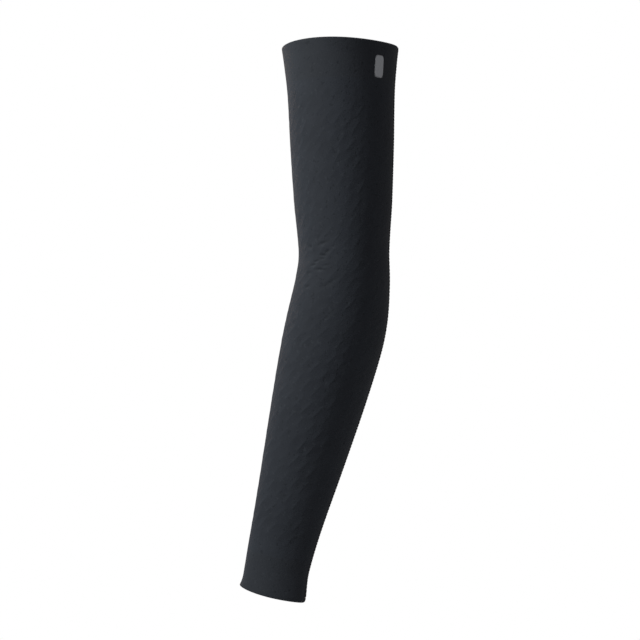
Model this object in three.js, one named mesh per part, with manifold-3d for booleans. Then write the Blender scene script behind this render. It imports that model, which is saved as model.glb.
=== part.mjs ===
// Arm compression sleeve in its worn shape: a long knitted tube that runs from the upper arm over a
// slightly bent elbow to the wrist, with a plain welt at each end, slanting ribs between the welts,
// a few shallow creases in the crook of the elbow, a flat seam down the back of the arm and a small
// reflective tab on the upper welt.
//
// Units are millimetres and degrees. +Z is up, the arm bends in the XZ plane with the forearm
// leaning towards -X, and the back of the arm faces +X. The origin is the middle of the upper opening.
//
// A place on the cloth is given by two values: along, the length down the middle of the arm from the
// upper rim, and turn, the angle round the arm from its front (-X) by way of -Y to its back (+X).

import * as THREE from "three";
import { mergeVertices } from "three/addons/utils/BufferGeometryUtils.js";
import Module from "manifold-3d";

const wasm = await Module();
wasm.setup();

// Driving sizes of the whole sleeve, measured outside, along the middle of the arm and across it.
const SLEEVE_LENGTH = 443;
const UPPER_WIDTH = 93; // at the upper rim, from the front of the arm to its back
const ELBOW_WIDTH = 72; // at the narrowest place over the elbow
const FOREARM_WIDTH = 80; // at the thickest place of the forearm
const WRIST_WIDTH = 50; // just above the wrist rim
const ELBOW_BEND = 14; // lean of the forearm away from the upper arm, in degrees

// Cloth.
const BODY_WALL = 1.8; // ribbed single knit, from its crests to its inside
const WELT_WALL = 2.2; // plain double knit at both ends
const UPPER_WELT_HEIGHT = 30;
const WRIST_WELT_HEIGHT = 32;
const SEAT_GAP = 0.3; // clearance between two pieces that touch
const CUT_PAST = 2; // how far the hollow is cut past both ends of a piece

// Slanting ribs, with grooves below the outline between them. They keep their size on the cloth
// while the arm tapers, climb towards its back on the side that faces -Y, and stop at the seam.
const RIB_WIDTH = 10; // round the arm, from one rib to the next
const RIB_RISE = 13.5; // along the arm, from one rib to the next
const GROOVE_DEPTH = 0.55;
const RIB_FADE = 14; // length over which the ribs die out towards a welt

// Flat seam down the back of the arm.
const SEAM_WIDTH = 5;
const SEAM_THICKNESS = 0.7;
const SEAM_EDGE = 0.6; // its thickness at the edges, as a share
const SEAM_MARGIN = 6; // cloth on each side of the seam over which the ribs die out
const SEAM_END = 0.8; // how far it stops short of each rim

// Reflective tab on the upper welt.
const TAB_WIDTH = 9;
const TAB_HEIGHT = 17.5;
const TAB_CORNER = 2;
const TAB_THICKNESS = 0.4;
const TAB_BELOW_RIM = 19.5; // from the upper rim to the tab's middle
const TAB_TURN = 133;

// Cross-sections of the arm. at is a share of SLEEVE_LENGTH from the upper rim, width the size in the
// XZ plane, depth the size across it as a share of that width, and bend a share of ELBOW_BEND.
const SECTIONS = [
  { at: 0.0, width: 1.0 * UPPER_WIDTH, depth: 1.03, bend: -0.06 },
  { at: 0.03, width: 0.963 * UPPER_WIDTH, depth: 1.0, bend: -0.08 },
  { at: 0.08, width: 0.918 * UPPER_WIDTH, depth: 0.98, bend: -0.08 },
  { at: 0.18, width: 0.884 * UPPER_WIDTH, depth: 0.98, bend: -0.07 },
  { at: 0.28, width: 0.837 * UPPER_WIDTH, depth: 1.0, bend: -0.08 },
  { at: 0.37, width: 1.0 * ELBOW_WIDTH, depth: 1.08, bend: -0.01 },
  { at: 0.42, width: 1.04 * ELBOW_WIDTH, depth: 1.06, bend: 0.37 },
  { at: 0.48, width: 0.99 * FOREARM_WIDTH, depth: 0.98, bend: 0.72 },
  { at: 0.53, width: 0.997 * FOREARM_WIDTH, depth: 0.94, bend: 0.94 },
  { at: 0.62, width: 0.938 * FOREARM_WIDTH, depth: 0.91, bend: 0.98 },
  { at: 0.74, width: 0.822 * FOREARM_WIDTH, depth: 0.85, bend: 1.01 },
  { at: 0.86, width: 1.12 * WRIST_WIDTH, depth: 0.77, bend: 1.01 },
  { at: 0.945, width: 1.025 * WRIST_WIDTH, depth: 0.74, bend: 0.82 },
  { at: 0.975, width: 1.025 * WRIST_WIDTH, depth: 0.74, bend: 0.6 },
  { at: 1.0, width: 1.075 * WRIST_WIDTH, depth: 0.74, bend: 1.1 },
];
const BACK_PINCH = 0.45; // how much the section is drawn together at the back, where the seam runs

// Creases on both sides of the crook of the elbow. at and height are shares of SLEEVE_LENGTH, turn and
// reach are degrees from the front of the arm to either side, slant tilts a crease along the arm per
// degree, as a share of SLEEVE_LENGTH, and depth is a share of BODY_WALL.
const CREASES = [
  { at: 0.352, height: 0.018, turn: 44, reach: 40, slant: -0.0003, depth: 0.24 },
  { at: 0.381, height: 0.02, turn: 50, reach: 46, slant: -0.0001, depth: 0.3 },
  { at: 0.411, height: 0.018, turn: 42, reach: 40, slant: 0.0001, depth: 0.24 },
];

// Fineness of the faceted surfaces.
const BORE_ROW = 20; // length of cloth per row of facets
const WELT_ROW = 10;
const SEAM_ROW = 9;
const BORE_COLUMNS = 36;
const WELT_COLUMNS = 48;
const SEAM_COLUMNS = 4;
const TAB_COLUMNS = 8;
const MIDDLE_STEPS = 200;
const TURN_STEPS = 180;

const { clamp, degToRad, smoothstep } = THREE.MathUtils;

// Smooth curve through one column of the section table. Each row's slope is that of the line
// between its two neighbours, and cubic Hermite pieces join the rows.
function sectionValue(column, along) {
  const at = clamp(along / SLEEVE_LENGTH, 0, 1);
  const last = SECTIONS.length - 1;
  let i = 0;
  while (i < last - 1 && at > SECTIONS[i + 1].at) i += 1;
  const slope = (k) => {
    const before = SECTIONS[Math.max(k - 1, 0)];
    const after = SECTIONS[Math.min(k + 1, last)];
    return (after[column] - before[column]) / (after.at - before.at);
  };
  const [low, high] = [SECTIONS[i], SECTIONS[i + 1]];
  const span = high.at - low.at;
  const t = (at - low.at) / span;
  return (
    (1 + 2 * t) * (1 - t) ** 2 * low[column] +
    t * (1 - t) ** 2 * span * slope(i) +
    t ** 2 * (3 - 2 * t) * high[column] +
    t ** 2 * (t - 1) * span * slope(i + 1)
  );
}

const leanAt = (along) => degToRad(ELBOW_BEND) * sectionValue("bend", along);
const headingAt = (along) => new THREE.Vector3(-Math.sin(leanAt(along)), 0, -Math.cos(leanAt(along)));

// Middle line of the arm, found by walking down it in short steps along its heading.
const middleStep = SLEEVE_LENGTH / MIDDLE_STEPS;
const middleLine = [new THREE.Vector3()];
for (let i = 0; i < MIDDLE_STEPS; i += 1) {
  const heading = headingAt((i + 0.5) * middleStep);
  middleLine.push(middleLine[i].clone().addScaledVector(heading, middleStep));
}

// Middle of the arm at a length from the upper rim, carried on straight past either end.
function middleAt(along) {
  const i = clamp(Math.floor(along / middleStep), 0, MIDDLE_STEPS - 1);
  return middleLine[i].clone().lerp(middleLine[i + 1], along / middleStep - i);
}

// Point of the cloth, out from the outline. The section is an ellipse whose sides are drawn
// together towards the back.
function clothPoint(along, turn, out) {
  const lean = leanAt(along);
  const width = sectionValue("width", along);
  const depth = width * sectionValue("depth", along);
  const pinch = 1 - BACK_PINCH * (0.5 - 0.5 * Math.cos(turn)) ** 2;
  const frontward = new THREE.Vector3(-Math.cos(lean), 0, Math.sin(lean));
  return middleAt(along)
    .addScaledVector(frontward, (width / 2 + out) * Math.cos(turn))
    .add(new THREE.Vector3(0, -(depth / 2 + out) * pinch * Math.sin(turn), 0));
}

// Lengths of cloth from the front of the arm to equal turns up to its back, at one length.
function walkRound(along) {
  const walked = [0];
  let before = clothPoint(along, 0, 0);
  for (let k = 1; k <= TURN_STEPS; k += 1) {
    const point = clothPoint(along, (Math.PI * k) / TURN_STEPS, 0);
    walked.push(walked[k - 1] + point.distanceTo(before));
    before = point;
  }
  return walked;
}

// Turn at which a walk round the arm from its front has covered a length of cloth. The walk ends at
// the back, and a negative length walks the other way.
function turnAfter(walked, arc) {
  const reach = Math.min(Math.abs(arc), walked[TURN_STEPS]);
  let k = 1;
  while (k < TURN_STEPS && walked[k] < reach) k += 1;
  const share = (reach - walked[k - 1]) / (walked[k] - walked[k - 1]);
  return (Math.sign(arc) * Math.PI * (k - 1 + share)) / TURN_STEPS;
}

// Round hump, 1 in the middle and 0 from a distance of 1 on.
const hump = (distance) => 0.5 + 0.5 * Math.cos(Math.PI * clamp(distance, -1, 1));

// Depth of the creases at a place.
function creaseAt(along, turn) {
  const aside = Math.abs(THREE.MathUtils.radToDeg(turn));
  const depths = CREASES.map((crease) => {
    const middle = (crease.at + crease.slant * (aside - crease.turn)) * SLEEVE_LENGTH;
    const across = hump((along - middle) / (crease.height * SLEEVE_LENGTH));
    return crease.depth * BODY_WALL * across * hump((aside - crease.turn) / crease.reach);
  });
  return depths.reduce((sum, depth) => sum + depth, 0);
}

// Depth of the grooves between the ribs, which die out towards the welts and towards the seam.
function grooveAt(along, fromSeam) {
  const fromUpper = along - UPPER_WELT_HEIGHT;
  const fromWrist = SLEEVE_LENGTH - WRIST_WELT_HEIGHT - along;
  const ends = smoothstep(Math.min(fromUpper, fromWrist), 0, RIB_FADE);
  return GROOVE_DEPTH * ends * smoothstep(fromSeam, 0, SEAM_MARGIN);
}

// Closed surface through rings of points, with a fan over the first ring and over the last. Points
// that meet are one, and a facet that this leaves without width is left out.
function loft(rings) {
  const count = rings[0].length;
  const last = rings.length - 1;
  const middleOf = (ring) => {
    const sum = ring.reduce((total, point) => total.add(point), new THREE.Vector3());
    return sum.divideScalar(count);
  };
  const points = [...rings.flat(), middleOf(rings[0]), middleOf(rings[last])];
  const start = points.length - 2;
  const end = points.length - 1;
  const index = (i, j) => i * count + (j % count);
  const facets = [];
  for (let j = 0; j < count; j += 1) {
    for (let i = 0; i < last; i += 1) {
      facets.push([index(i, j), index(i + 1, j), index(i, j + 1)]);
      facets.push([index(i, j + 1), index(i + 1, j), index(i + 1, j + 1)]);
    }
    facets.push([start, index(0, j), index(0, j + 1)]);
    facets.push([end, index(last, j + 1), index(last, j)]);
  }
  const geometry = new THREE.BufferGeometry().setFromPoints(points);
  geometry.setIndex(facets.flat());
  return mergeVertices(geometry);
}

// Lengths from one to another in equal steps of about the given size.
function stations(first, last, about) {
  const count = Math.max(1, Math.round(Math.abs(last - first) / about));
  return Array.from({ length: count + 1 }, (_, i) => first + ((last - first) * i) / count);
}

// Ring of cloth points at one length, at equal turns.
function plainRing(along, columns, outAt) {
  return Array.from({ length: columns }, (_, j) => {
    const turn = (2 * Math.PI * j) / columns - Math.PI;
    return clothPoint(along, turn, outAt(along, turn));
  });
}

// Conversions between three.js geometry and manifold-3d solids.
function toSolid(geometry) {
  const corners = geometry.index.array;
  const facets = [];
  for (let k = 0; k < corners.length; k += 3) {
    const [a, b, c] = corners.slice(k, k + 3);
    if (a !== b && b !== c && c !== a) facets.push(a, b, c);
  }
  return new wasm.Manifold(
    new wasm.Mesh({
      numProp: 3,
      vertProperties: new Float32Array(geometry.attributes.position.array),
      triVerts: new Uint32Array(facets),
    }),
  );
}

function toGeometry(solid) {
  const { vertProperties, triVerts } = solid.getMesh();
  const geometry = new THREE.BufferGeometry();
  geometry.setAttribute("position", new THREE.BufferAttribute(vertProperties, 3));
  geometry.setIndex(new THREE.BufferAttribute(triVerts, 1));
  geometry.computeVertexNormals();
  return geometry;
}

// Takes the hollow that the arm fills out of a solid, past both of its ends.
function hollowOut(solid, lengths, columns, outAt) {
  const through = [lengths[0] - CUT_PAST, ...lengths, lengths[lengths.length - 1] + CUT_PAST];
  const inside = loft(through.map((along) => plainRing(along, columns, outAt)));
  return toGeometry(solid.subtract(toSolid(inside)));
}

// Ribbed tube between the two welts. Its columns of facets stand half a rib apart on the cloth,
// counted from the front, and those that a taper leaves no room for end at the seam.
function sleeveBody() {
  const low = UPPER_WELT_HEIGHT + SEAT_GAP;
  const high = SLEEVE_LENGTH - WRIST_WELT_HEIGHT - SEAT_GAP;
  const lengths = stations(low, high, RIB_RISE / 2);
  const walks = lengths.map(walkRound);
  const halfRound = walks.map((walked) => walked[TURN_STEPS]);
  const reach = Math.ceil((2 * Math.max(...halfRound)) / RIB_WIDTH);
  const rings = lengths.map((along, i) =>
    Array.from({ length: 2 * reach + 1 }, (_, k) => {
      const column = k - reach;
      const arc = (column * RIB_WIDTH) / 2;
      const turn = turnAfter(walks[i], arc);
      const isGroove = (i + column) % 2 !== 0;
      const fromSeam = halfRound[i] - Math.abs(arc) - SEAM_WIDTH / 2;
      const groove = isGroove ? grooveAt(along, fromSeam) : 0;
      return clothPoint(along, turn, -groove - creaseAt(along, turn));
    }),
  );
  const inwards = (along, turn) => -BODY_WALL - creaseAt(along, turn);
  return hollowOut(toSolid(loft(rings)), stations(low, high, BORE_ROW), BORE_COLUMNS, inwards);
}

// Plain doubled band at an end of the sleeve. rim is the length at its free edge, where the cloth is
// folded over, so that both of its corners are rounded.
function welt(rim, height) {
  const inward = rim === 0 ? 1 : -1;
  const round = 0.4 * WELT_WALL;
  const retreat = (along) => {
    const near = clamp(Math.abs(along - rim), 0, round);
    return round - Math.sqrt(round ** 2 - (round - near) ** 2);
  };
  const corner = [0, 0.15, 0.5, 1].map((share) => rim + inward * share * round);
  const plain = stations(rim + inward * round, rim + inward * height, WELT_ROW).slice(1);
  const lengths = [...corner, ...plain].sort((a, b) => a - b);
  const rings = lengths.map((along) => plainRing(along, WELT_COLUMNS, () => -retreat(along)));
  const [low, high] = [lengths[0], lengths[lengths.length - 1]];
  const inwards = (along) => retreat(clamp(along, low, high)) - WELT_WALL;
  return hollowOut(toSolid(loft(rings)), lengths, WELT_COLUMNS, inwards);
}

// Flat seam: a low strip down the back of the arm that lies on the welts and the body.
function backSeam() {
  const shares = Array.from({ length: SEAM_COLUMNS + 1 }, (_, k) => k / SEAM_COLUMNS - 0.5);
  const crown = (share) => SEAM_THICKNESS * (1 - (1 - SEAM_EDGE) * (2 * share) ** 2);
  const rings = stations(SEAM_END, SLEEVE_LENGTH - SEAM_END, SEAM_ROW).map((along) => {
    const walked = walkRound(along);
    const place = (share, out) => {
      const turn = turnAfter(walked, walked[TURN_STEPS] - Math.abs(share) * SEAM_WIDTH);
      return clothPoint(along, share < 0 ? turn : 2 * Math.PI - turn, out);
    };
    const over = shares.map((share) => place(share, SEAT_GAP + crown(share)));
    const under = shares.map((share) => place(share, SEAT_GAP));
    return [...over, ...under.reverse()];
  });
  return toGeometry(toSolid(loft(rings)));
}

// Reflective tab: a thin upright film with round corners, bent to the upper welt.
function reflectiveTab() {
  const shares = Array.from({ length: TAB_COLUMNS + 1 }, (_, k) => k / TAB_COLUMNS - 0.5);
  const rings = shares.map((share) => {
    const past = Math.max(0, Math.abs(share) * TAB_WIDTH - (TAB_WIDTH / 2 - TAB_CORNER));
    const half = TAB_HEIGHT / 2 - TAB_CORNER + Math.sqrt(TAB_CORNER ** 2 - past ** 2);
    const place = (down, out) => {
      const along = TAB_BELOW_RIM + down;
      const walked = walkRound(along);
      const middle = walked[Math.round((TAB_TURN / 180) * TURN_STEPS)];
      return clothPoint(along, turnAfter(walked, middle + share * TAB_WIDTH), out);
    };
    const outside = SEAT_GAP + TAB_THICKNESS;
    return [place(half, outside), place(-half, outside), place(-half, SEAT_GAP), place(half, SEAT_GAP)];
  });
  return toGeometry(toSolid(loft(rings)));
}

const ribbedKnit = new THREE.MeshStandardMaterial({ color: 0x2b2e33, roughness: 0.88, metalness: 0 });
const plainKnit = new THREE.MeshStandardMaterial({ color: 0x2c2f34, roughness: 0.82, metalness: 0 });
const thread = new THREE.MeshStandardMaterial({ color: 0x24262a, roughness: 0.75, metalness: 0 });
const film = new THREE.MeshStandardMaterial({ color: 0xb4b7ba, roughness: 0.45, metalness: 0.1 });

const sleeve = new THREE.Group();
for (const [name, geometry, material] of [
  ["sleeve_body", sleeveBody(), ribbedKnit],
  ["upper_welt", welt(0, UPPER_WELT_HEIGHT), plainKnit],
  ["wrist_welt", welt(SLEEVE_LENGTH, WRIST_WELT_HEIGHT), plainKnit],
  ["back_seam", backSeam(), thread],
  ["reflective_tab", reflectiveTab(), film],
]) {
  const mesh = new THREE.Mesh(geometry, material);
  mesh.name = name;
  sleeve.add(mesh);
}

export default sleeve;
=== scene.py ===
"""Arm compression sleeve in its worn shape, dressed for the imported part.

The sleeve is a long knitted tube with slanting, brick-like ribs and small creases in the crook of the
elbow, plain bands at the upper arm and the wrist, a flat seam of thread down the back of the arm and a
small reflective tab on the upper band.

Units are metres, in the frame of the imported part: +Z is up, the arm bends in the XZ plane, its front
faces -X and its back +X. A place on the cloth is given by along, the length down the middle of the
arm from the upper rim, and by turn, the angle round the arm from its front by way of -Y to its back,
or by arc, the length of cloth round the arm from its front.
"""

import logging
import math
from collections.abc import Callable
from dataclasses import dataclass, field
from enum import Enum
from typing import NamedTuple

import bpy
import numpy as np
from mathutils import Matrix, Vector


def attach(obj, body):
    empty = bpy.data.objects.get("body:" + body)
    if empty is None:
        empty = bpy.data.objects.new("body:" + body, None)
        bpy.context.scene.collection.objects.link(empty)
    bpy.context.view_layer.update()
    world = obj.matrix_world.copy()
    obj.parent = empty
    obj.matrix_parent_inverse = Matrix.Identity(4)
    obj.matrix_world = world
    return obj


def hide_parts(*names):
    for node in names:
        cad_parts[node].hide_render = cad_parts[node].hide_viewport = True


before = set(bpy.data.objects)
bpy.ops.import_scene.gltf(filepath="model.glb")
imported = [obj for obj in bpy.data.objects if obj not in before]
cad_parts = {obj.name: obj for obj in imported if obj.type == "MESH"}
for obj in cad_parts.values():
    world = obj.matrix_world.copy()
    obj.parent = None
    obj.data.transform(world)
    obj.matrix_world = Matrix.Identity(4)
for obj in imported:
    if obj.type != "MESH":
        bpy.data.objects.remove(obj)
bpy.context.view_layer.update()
MM = 0.001
CLOTH_MAP = "cloth"
RIB_MAP = "ribs"
# Map of the painted shade in the elbow's dents and of the painted highlight just below them.
DENT_SHADE_AND_HIGHLIGHT_MAP = "dents"
RELIEF = "relief"

log = logging.getLogger("sleeve")


# Shape of the arm


class Section(NamedTuple):
    """Cross-section of the arm: a share of the length, a width in metres, a depth as a share of the
    width, and a lean as a share of the elbow's bend."""

    at: float
    width: float
    depth: float
    bend: float


class Crease(NamedTuple):
    """Long soft crease of the elbow: at and height as shares of the length, turn and reach in degrees
    to either side of the front, slant as a share of the length per degree, and depth in metres."""

    at: float
    height: float
    turn: float
    reach: float
    slant: float
    depth: float


class Dent(NamedTuple):
    """Short pinched dent of the elbow: along in metres, turn in degrees, half its run round the arm and
    half its height in metres, its rise per length round the arm, and its depth in metres."""

    along: float
    turn: float
    run: float
    height: float
    rise: float
    depth: float


def hump(distance: np.ndarray) -> np.ndarray:
    """Round hump: one plus the cosine of a half turn per unit of distance, halved, and 0 beyond 1.

    Args:
        distance: Distances from the middle of the hump, in halves of its width.

    Returns:
        Heights from 0 to 1.
    """
    return 0.5 + 0.5 * np.cos(np.pi * np.clip(distance, -1, 1))


def smooth_step(value: np.ndarray, low: float, high: float) -> np.ndarray:
    """Cubic ramp: three times the squared share less twice its cube, flat outside low and high.

    Args:
        value: Values to ramp.
        low: Value where the ramp leaves 0.
        high: Value where it reaches 1.

    Returns:
        Ramped values from 0 to 1.
    """
    share = np.clip((value - low) / (high - low), 0, 1)
    return share * share * (3 - 2 * share)


def ripple(u: np.ndarray, v: np.ndarray, scale: float, seed: float) -> np.ndarray:
    """Uneven field: the mean of five sine waves whose directions and lengths differ.

    Args:
        u: First coordinate, in metres.
        v: Second coordinate, in metres.
        scale: Length of the middle wave, in metres.
        seed: Number that shifts the waves.

    Returns:
        Values between -1 and 1, mostly within a half of 0.
    """
    turns = seed + 2.4 * np.arange(5)
    lengths = scale * np.array([0.61, 0.79, 1.0, 1.37, 1.83])
    waves = [
        np.sin(2 * np.pi * (u * math.cos(t) + v * math.sin(t)) / s + 3.1 * t)
        for t, s in zip(turns, lengths)
    ]
    return sum(waves) / len(waves)


@dataclass(frozen=True)
class ArmForm:
    """Outline of the worn sleeve: its middle line, its sections and the creases of its elbow."""

    length: float = 443 * MM
    upper_width: float = 93 * MM
    elbow_width: float = 72 * MM
    forearm_width: float = 80 * MM
    wrist_width: float = 50 * MM
    elbow_bend: float = 14.0
    back_pinch: float = 0.45
    body_wall: float = 1.8 * MM
    far_turn: float = 5.0
    far_down: float = 2 * MM
    middle_steps: int = 200
    turn_steps: int = 360

    def sections(self) -> list[Section]:
        """Sections from the upper rim to the wrist rim.

        Returns:
            A row for each section: at, width, depth and bend.
        """
        upper, elbow = self.upper_width, self.elbow_width
        forearm, wrist = self.forearm_width, self.wrist_width
        return [
            Section(0.0, 1.0 * upper, 1.03, -0.06),
            Section(0.03, 0.963 * upper, 1.0, -0.08),
            Section(0.08, 0.918 * upper, 0.98, -0.08),
            Section(0.18, 0.884 * upper, 0.98, -0.07),
            Section(0.28, 0.837 * upper, 1.0, -0.08),
            Section(0.37, 1.0 * elbow, 1.08, -0.01),
            Section(0.42, 1.04 * elbow, 1.06, 0.37),
            Section(0.48, 0.99 * forearm, 0.98, 0.72),
            Section(0.53, 0.997 * forearm, 0.94, 0.94),
            Section(0.62, 0.938 * forearm, 0.91, 0.98),
            Section(0.74, 0.822 * forearm, 0.85, 1.01),
            Section(0.86, 1.12 * wrist, 0.77, 1.01),
            Section(0.945, 1.025 * wrist, 0.74, 0.82),
            Section(0.975, 1.025 * wrist, 0.74, 0.6),
            Section(1.0, 1.075 * wrist, 0.74, 1.1),
        ]

    def creases(self) -> list[Crease]:
        """Soft creases on both sides of the crook of the elbow.

        Returns:
            A row for each crease: at, height, turn, reach, slant and depth.
        """
        wall = self.body_wall
        return [
            Crease(0.352, 0.018, 44, 40, -0.0003, 0.24 * wall),
            Crease(0.381, 0.020, 50, 46, -0.0001, 0.30 * wall),
            Crease(0.411, 0.018, 42, 40, 0.0001, 0.24 * wall),
        ]

    def dents(self) -> list[Dent]:
        """Short dents between the creases, on the side that faces -Y, and as many on the other.

        Returns:
            A row for each dent: along, turn, run, height, rise and depth.
        """
        table = (
            (157.5, 63, 3.8, 1.2, -0.25, 0.7),
            (160, 43.5, 2.2, 1.3, 0.2, 0.6),
            (164, 69, 1.6, 1.0, -0.3, 0.75),
            (167.2, 63, 2.6, 0.9, 0.1, 0.8),
            (170, 62, 2.4, 0.8, -0.1, 0.6),
            (172.3, 53, 2.6, 0.9, -0.25, 0.7),
            (175.4, 50, 2.8, 0.9, -0.2, 0.75),
            (175.5, 68, 2.8, 1.0, -0.3, 0.5),
            (179.3, 60, 3.8, 1.0, 0.0, 0.7),
            (182.5, 44, 2.4, 1.0, -0.1, 0.4),
            (190, 74, 4.5, 1.8, -0.8, 0.45),
            (194.5, 45, 2.0, 1.1, -0.4, 0.6),
            (153, 57, 2.0, 1.2, -0.9, 0.4),
        )
        near = [
            Dent(along * MM, turn, run * MM, height * MM, rise, depth * MM)
            for along, turn, run, height, rise, depth in table
        ]
        far = [
            dent._replace(
                turn=-dent.turn - self.far_turn, along=dent.along + self.far_down, rise=-dent.rise
            )
            for dent in near
        ]
        return near + far

    def value(self, column: str, along: np.ndarray) -> np.ndarray:
        """Smooth curve through one column of the sections.

        Each section's slope is that of the line between its two neighbours, and cubic Hermite pieces
        join the sections.

        Args:
            column: Name of a field of Section.
            along: Lengths from the upper rim, in metres.

        Returns:
            The column's values there.
        """
        rows = self.sections()
        at = np.array([row.at for row in rows])
        known = np.array([getattr(row, column) for row in rows])
        before = np.maximum(np.arange(len(rows)) - 1, 0)
        after = np.minimum(np.arange(len(rows)) + 1, len(rows) - 1)
        slopes = (known[after] - known[before]) / (at[after] - at[before])
        share = np.clip(along / self.length, 0, 1)
        low = np.clip(np.searchsorted(at, share, side="left") - 1, 0, len(rows) - 2)
        span = at[low + 1] - at[low]
        t = (share - at[low]) / span
        return (
            (1 + 2 * t) * (1 - t) ** 2 * known[low]
            + t * (1 - t) ** 2 * span * slopes[low]
            + t**2 * (3 - 2 * t) * known[low + 1]
            + t**2 * (t - 1) * span * slopes[low + 1]
        )

    def middle(self, along: np.ndarray) -> np.ndarray:
        """Middle line of the arm, walked in short straight steps along its lean.

        Args:
            along: Lengths from the upper rim, in metres.

        Returns:
            Points, with X and Z in the last axis.
        """
        step = self.length / self.middle_steps
        stops = np.arange(self.middle_steps + 1) * step
        lean = np.radians(self.elbow_bend) * self.value("bend", stops[:-1] + step / 2)
        x = np.concatenate([[0.0], np.cumsum(-np.sin(lean) * step)])
        z = np.concatenate([[0.0], np.cumsum(-np.cos(lean) * step)])
        return np.stack([np.interp(along, stops, x), np.interp(along, stops, z)], -1)

    def point(self, along: np.ndarray, turn: np.ndarray, out: np.ndarray) -> np.ndarray:
        """Point of the cloth.

        From the middle line it goes half the width plus out towards the front times the cosine of the
        turn, and half the depth plus out towards -Y times its sine. The second part is drawn together
        towards the back by the pinch times the squared half of one less the cosine.

        Args:
            along: Lengths from the upper rim, in metres.
            turn: Angles from the front, in radians.
            out: Distances out from the outline, in metres.

        Returns:
            Points, with X, Y and Z in the last axis.
        """
        along, turn, out = np.broadcast_arrays(along, turn, out)
        lean = np.radians(self.elbow_bend) * self.value("bend", along)
        width = self.value("width", along)
        depth = width * self.value("depth", along)
        pinch = 1 - self.back_pinch * (0.5 - 0.5 * np.cos(turn)) ** 2
        ahead = (width / 2 + out) * np.cos(turn)
        aside = (depth / 2 + out) * pinch * np.sin(turn)
        middle = self.middle(along)
        x = middle[..., 0] - np.cos(lean) * ahead
        z = middle[..., 1] + np.sin(lean) * ahead
        return np.stack([x, -aside, z], -1)

    def round_at(self, along: np.ndarray) -> tuple[np.ndarray, np.ndarray]:
        """Lengths of cloth from the front to equal turns up to the back, at several lengths.

        Args:
            along: Lengths from the upper rim, one a row, in metres.

        Returns:
            The turns, and a row of walked lengths for each length.
        """
        turns = np.linspace(0, np.pi, self.turn_steps + 1)
        ring = self.point(along[:, None], turns[None, :], np.zeros((1, 1)))
        steps = np.linalg.norm(np.diff(ring, axis=1), axis=-1)
        return turns, np.concatenate([np.zeros((len(along), 1)), np.cumsum(steps, axis=1)], axis=1)

    def turn_after(self, along: np.ndarray, arc: np.ndarray) -> np.ndarray:
        """Turns at which a walk round the arm has covered given lengths of cloth.

        Args:
            along: Lengths from the upper rim, one a row, in metres.
            arc: Lengths of cloth from the front, a row for each length.

        Returns:
            Turns in radians, with the sign of the arc.
        """
        turns, walked = self.round_at(along)
        found = [np.interp(np.abs(row), walk, turns) for row, walk in zip(arc, walked)]
        return np.stack(found) * np.sign(arc)

    def half_round(self, along: np.ndarray) -> np.ndarray:
        """Lengths of cloth from the front to the back, in metres."""
        return self.round_at(along)[1][:, -1]

    def crease_depth(self, along: np.ndarray, turn: np.ndarray) -> np.ndarray:
        """Depth of the soft creases: a hump across each times a hump round the arm.

        Args:
            along: Lengths from the upper rim, in metres.
            turn: Angles from the front, in radians.

        Returns:
            Depths below the outline, in metres.
        """
        aside = np.abs(np.degrees(turn))
        total = np.zeros(np.broadcast(along, turn).shape)
        for crease in self.creases():
            middle = (crease.at + crease.slant * (aside - crease.turn)) * self.length
            across = hump((along - middle) / (crease.height * self.length))
            total += crease.depth * across * hump((aside - crease.turn) / crease.reach)
        return total

    def dent_depth(self, along: np.ndarray, arc: np.ndarray, down: float = 0.0) -> np.ndarray:
        """Depth of the short dents: each a bell curve that is long round the arm and low along it.

        Args:
            along: Lengths from the upper rim, in metres.
            arc: Lengths of cloth from the front, in metres.
            down: Shift towards the wrist, in half heights of each dent.

        Returns:
            Depths below the outline, in metres.
        """
        total = np.zeros(np.broadcast(along, arc).shape)
        for dent in self.dents():
            place = np.array([dent.along])
            centre = self.half_round(place)[0] * self._share_of_round(dent)
            run = (arc - centre) / dent.run
            height = (along - dent.along - dent.rise * (arc - centre)) / dent.height - down
            total += dent.depth * np.exp(-run * run - height * height)
        return total

    def _share_of_round(self, dent: Dent) -> float:
        """Share of the half round at which a dent's turn lies.

        Args:
            dent: Dent to place.

        Returns:
            Share from 0 at the front to 1 at the back, with the sign of the turn.
        """
        turns, walked = self.round_at(np.array([dent.along]))
        length = np.interp(abs(math.radians(dent.turn)), turns, walked[0])
        return math.copysign(length / walked[0][-1], dent.turn)


# Meshes


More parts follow.
